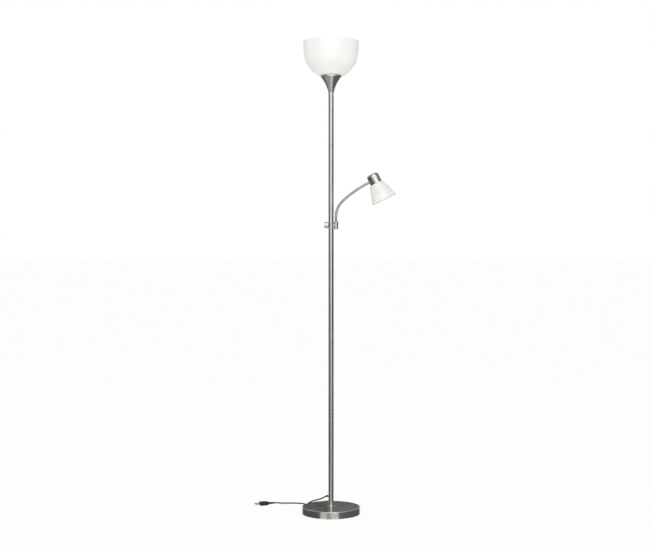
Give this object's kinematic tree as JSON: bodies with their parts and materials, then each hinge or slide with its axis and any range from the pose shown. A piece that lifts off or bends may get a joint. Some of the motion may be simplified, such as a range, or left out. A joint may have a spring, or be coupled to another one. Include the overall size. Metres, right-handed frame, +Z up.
{
  "type": "torchiere floor lamp with reading light",
  "caption": "Tall floor uplighter: bowl shade on a trumpet cone, round weighted base, rotary switch and a bell-shaped reading light on a bendable gooseneck.",
  "frame": {"origin": "centre of the base's underside, on the pole's axis", "axes": "+Z up along the pole; +X towards the reading light; -Y is the side seen in the picture"},
  "size_m": [0.55, 0.3064, 1.8],
  "materials": {
    "brushed_nickel": "brushed nickel, satin",
    "spun_nickel": "spun nickel, satin",
    "cast_iron": "as cast",
    "zinc_steel": "bright zinc",
    "black_foam": "closed-cell foam",
    "black_rubber": "matte",
    "black_cord": "satin cord sheath",
    "lead_sheath": "satin cable sheath",
    "white_plastic": "gloss",
    "black_plastic": "matte",
    "opal_glass": "opal, satin outside",
    "cloudy_glass": "alabaster-like, satin outside",
    "frosted_glass": "frosted",
    "brass": "bright",
    "clear_rubber": "translucent"
  },
  "bodies": {
    "stand": {"base_pad": "black_foam", "base_weight": "cast_iron", "base_cover": "spun_nickel", "base_washer": "zinc_steel", "base_bolt": "zinc_steel", "foot_collar": "brushed_nickel", "pole_foot_plug": "zinc_steel", "pole_lower": "brushed_nickel", "pole_joiner_lower": "zinc_steel", "pole_middle": "brushed_nickel", "pole_joiner_middle": "zinc_steel", "switch_housing": "brushed_nickel", "pole_joiner_upper": "zinc_steel", "pole_upper": "brushed_nickel", "pole_top_plug": "zinc_steel", "cord_grommet": "black_rubber", "mains_lead": "black_cord", "top_lead": "lead_sheath", "rotary_switch": "black_plastic", "switch_nut": "zinc_steel", "arm_bracket": "brushed_nickel", "arm_nut": "zinc_steel", "neck_set_screw": "zinc_steel", "top_cone": "spun_nickel", "gallery_plate": "zinc_steel", "soft_washer": "clear_rubber", "top_nipple": "zinc_steel", "top_shade": "opal_glass", "top_lampholder": "white_plastic", "top_shade_ring": "white_plastic", "top_lamp_cap": "white_plastic", "top_lamp_globe": "frosted_glass", "cord_drop": "black_cord", "cord_coil": "black_cord", "coil_tie": "black_plastic", "cord_tail": "black_cord", "plug_body": "black_plastic", "plug_pins": "zinc_steel", "neck_hose_1": "brushed_nickel", "reader_lead_1": "lead_sheath"},
    "knob": {"switch_shaft": "brass", "switch_knob": "brushed_nickel"},
    "neck_2": {"neck_hose_2": "brushed_nickel", "reader_lead_2": "lead_sheath"},
    "neck_3": {"neck_hose_3": "brushed_nickel", "reader_lead_3": "lead_sheath"},
    "neck_4": {"neck_hose_4": "brushed_nickel", "reader_lead_4": "lead_sheath"},
    "neck_5": {"neck_hose_5": "brushed_nickel", "reader_lead_5": "lead_sheath"},
    "reader": {"neck_hose_6": "brushed_nickel", "reader_lead_6": "lead_sheath", "neck_tip": "brass", "tip_nut": "zinc_steel", "reader_cap": "brushed_nickel", "reading_shade": "cloudy_glass", "small_lampholder": "white_plastic", "small_shade_ring": "white_plastic", "reader_lamp_cap": "white_plastic", "reader_lamp_globe": "frosted_glass"}
  },
  "joints": [
    {"name": "switch_knob_turn", "type": "hinge", "parent": "stand", "child": "knob", "pos_m": [-0.018, 0, 1.1], "axis": [-1, 0, 0], "continuous": true},
    {"name": "neck_bend", "type": "hinge", "parent": "stand", "child": "neck_2", "pos_m": [0.02026, 0, 1.14775], "axis": [0, 1, 0], "range_deg": [-20, 15], "deforming": ["neck_hose_1", "reader_lead_1", "neck_hose_2", "reader_lead_2"]},
    {"name": "neck_sway", "type": "hinge", "parent": "neck_2", "child": "neck_3", "pos_m": [0.03346, 0, 1.17969], "axis": [-0.8215, 0, 0.5702], "range_deg": [-25, 25], "deforming": ["neck_hose_2", "reader_lead_2", "neck_hose_3", "reader_lead_3"]},
    {"name": "neck_bend_2", "type": "hinge", "parent": "neck_3", "child": "neck_4", "pos_m": [0.05787, 0, 1.20437], "axis": [0, 1, 0], "range_deg": [-20, 15], "deforming": ["neck_hose_3", "reader_lead_3", "neck_hose_4", "reader_lead_4"]},
    {"name": "neck_sway_2", "type": "hinge", "parent": "neck_4", "child": "neck_5", "pos_m": [0.08526, 0, 1.22586], "axis": [-0.5847, 0, 0.8113], "range_deg": [-25, 25], "deforming": ["neck_hose_4", "reader_lead_4", "neck_hose_5", "reader_lead_5"]},
    {"name": "neck_bend_3", "type": "hinge", "parent": "neck_5", "child": "reader", "pos_m": [0.11431, 0, 1.24505], "axis": [0, 1, 0], "range_deg": [-20, 15], "deforming": ["neck_hose_5", "reader_lead_5", "neck_hose_6", "reader_lead_6"]}
  ],
  "couplings": [
    {"joint": "neck_bend_2", "follows": "neck_bend", "ratio": 1},
    {"joint": "neck_bend_3", "follows": "neck_bend", "ratio": 1},
    {"joint": "neck_sway_2", "follows": "neck_sway", "ratio": 1}
  ]
}
